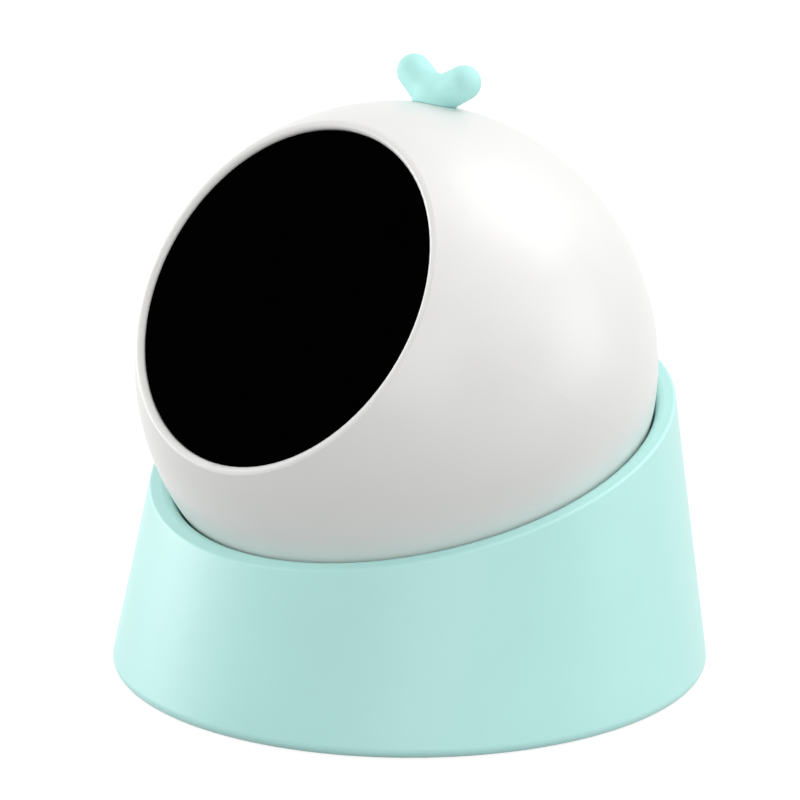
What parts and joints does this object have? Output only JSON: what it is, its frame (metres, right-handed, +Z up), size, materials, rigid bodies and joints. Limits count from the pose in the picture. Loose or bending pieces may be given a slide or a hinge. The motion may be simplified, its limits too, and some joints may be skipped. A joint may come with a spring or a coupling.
{
  "type": "cat laser toy",
  "caption": "Automatic laser toy for cats: a glossy ball with a round dark window and a leaf on top, resting in a slanted round base.",
  "frame": {"origin": "middle of the round base, on the surface that it stands on", "axes": "+Z up, -Y the front, where the window looks, +X the toy's left as it looks out"},
  "size_m": [0.0882, 0.088, 0.0895],
  "materials": {
    "mint_shell": "satin",
    "white_shell": "gloss",
    "dark_window": "polished",
    "sprout_mint": "gloss",
    "button_mint": "gloss",
    "seat_silicone": "matte",
    "foot_rubber": "matte",
    "adhesive_grey": "matte",
    "foam_pad": "matte",
    "inner_plastic": "matte",
    "gear_nylon": "satin",
    "switch_black": "satin",
    "board_green": "satin",
    "battery_foil": "satin",
    "motor_steel": "brushed",
    "screw_steel": "brushed",
    "port_steel": "brushed",
    "laser_brass": "satin",
    "lens_clear": "polished",
    "light_clear": "satin",
    "wire_cover": "satin",
    "led_white": "gloss"
  },
  "bodies": {
    "base": {"base_shell": "mint_shell", "base_plate": "mint_shell", "anti_slip_ring": "foot_rubber", "base_screws": "screw_steel"},
    "seat": {"seat_ring": "seat_silicone"},
    "ball": {"ball_shell": "white_shell", "window_panel": "dark_window", "window_adhesive": "adhesive_grey", "rear_cover": "white_shell", "cover_screws": "screw_steel", "sprout": "sprout_mint", "sprout_screw": "screw_steel", "chassis": "inner_plastic", "main_board": "board_green", "main_board_screws": "screw_steel", "battery": "battery_foil", "battery_pad": "foam_pad", "pan_motor": "motor_steel", "pan_motor_screws": "screw_steel", "power_board": "board_green", "power_board_screws": "screw_steel", "power_switch": "switch_black", "usb_port": "port_steel", "status_led": "led_white", "light_pipe": "light_clear", "battery_lead": "wire_cover", "power_board_lead": "wire_cover", "pan_motor_lead": "wire_cover"},
    "power_key": {"power_button": "button_mint", "switch_plunger": "switch_black"},
    "pan_drive": {"pan_pinion": "gear_nylon", "pan_motor_shaft": "screw_steel"},
    "pan_yoke": {"yoke": "inner_plastic", "pan_gear": "gear_nylon", "pan_axles": "screw_steel", "tilt_motor": "motor_steel"},
    "tilt_drive": {"tilt_pinion": "gear_nylon", "tilt_motor_shaft": "screw_steel"},
    "laser": {"laser_cradle": "inner_plastic", "tilt_gear": "gear_nylon", "laser_barrel": "laser_brass", "laser_lens": "lens_clear"}
  },
  "joints": [
    {"name": "ball_turn", "type": "hinge", "parent": "base", "child": "seat", "pos_m": [0, -0.00267, 0.0458], "axis": [0, 0, 1], "continuous": true},
    {"name": "ball_tilt", "type": "hinge", "parent": "seat", "child": "ball", "pos_m": [0, -0.00267, 0.0458], "axis": [1, 0, 0], "range_deg": [-30, 45]},
    {"name": "power_button_press", "type": "slide", "parent": "ball", "child": "power_key", "axis": [0, -0.8211, -0.5707], "range_m": [0, 0.0006], "stiffness_N_per_m": 1500, "springref_m": -0.0002},
    {"name": "pan_turn", "type": "hinge", "parent": "ball", "child": "pan_yoke", "pos_m": [0, -0.00437, 0.04685], "axis": [0, 0.5255, 0.8508], "range_deg": [-35, 35]},
    {"name": "pan_pinion_spin", "type": "hinge", "parent": "ball", "child": "pan_drive", "pos_m": [0, 0.00676, 0.03998], "axis": [0, 0.5255, 0.8508], "range_deg": [-117, 117]},
    {"name": "laser_tilt", "type": "hinge", "parent": "pan_yoke", "child": "laser", "pos_m": [0, -0.00437, 0.04685], "axis": [1, 0, 0], "range_deg": [-20, 20]},
    {"name": "tilt_pinion_spin", "type": "hinge", "parent": "pan_yoke", "child": "tilt_drive", "pos_m": [0, 0.00506, 0.04103], "axis": [1, 0, 0], "range_deg": [-54, 54]}
  ],
  "couplings": [
    {"joint": "pan_pinion_spin", "follows": "pan_turn", "ratio": -3.3333},
    {"joint": "tilt_pinion_spin", "follows": "laser_tilt", "ratio": -2.6667}
  ]
}
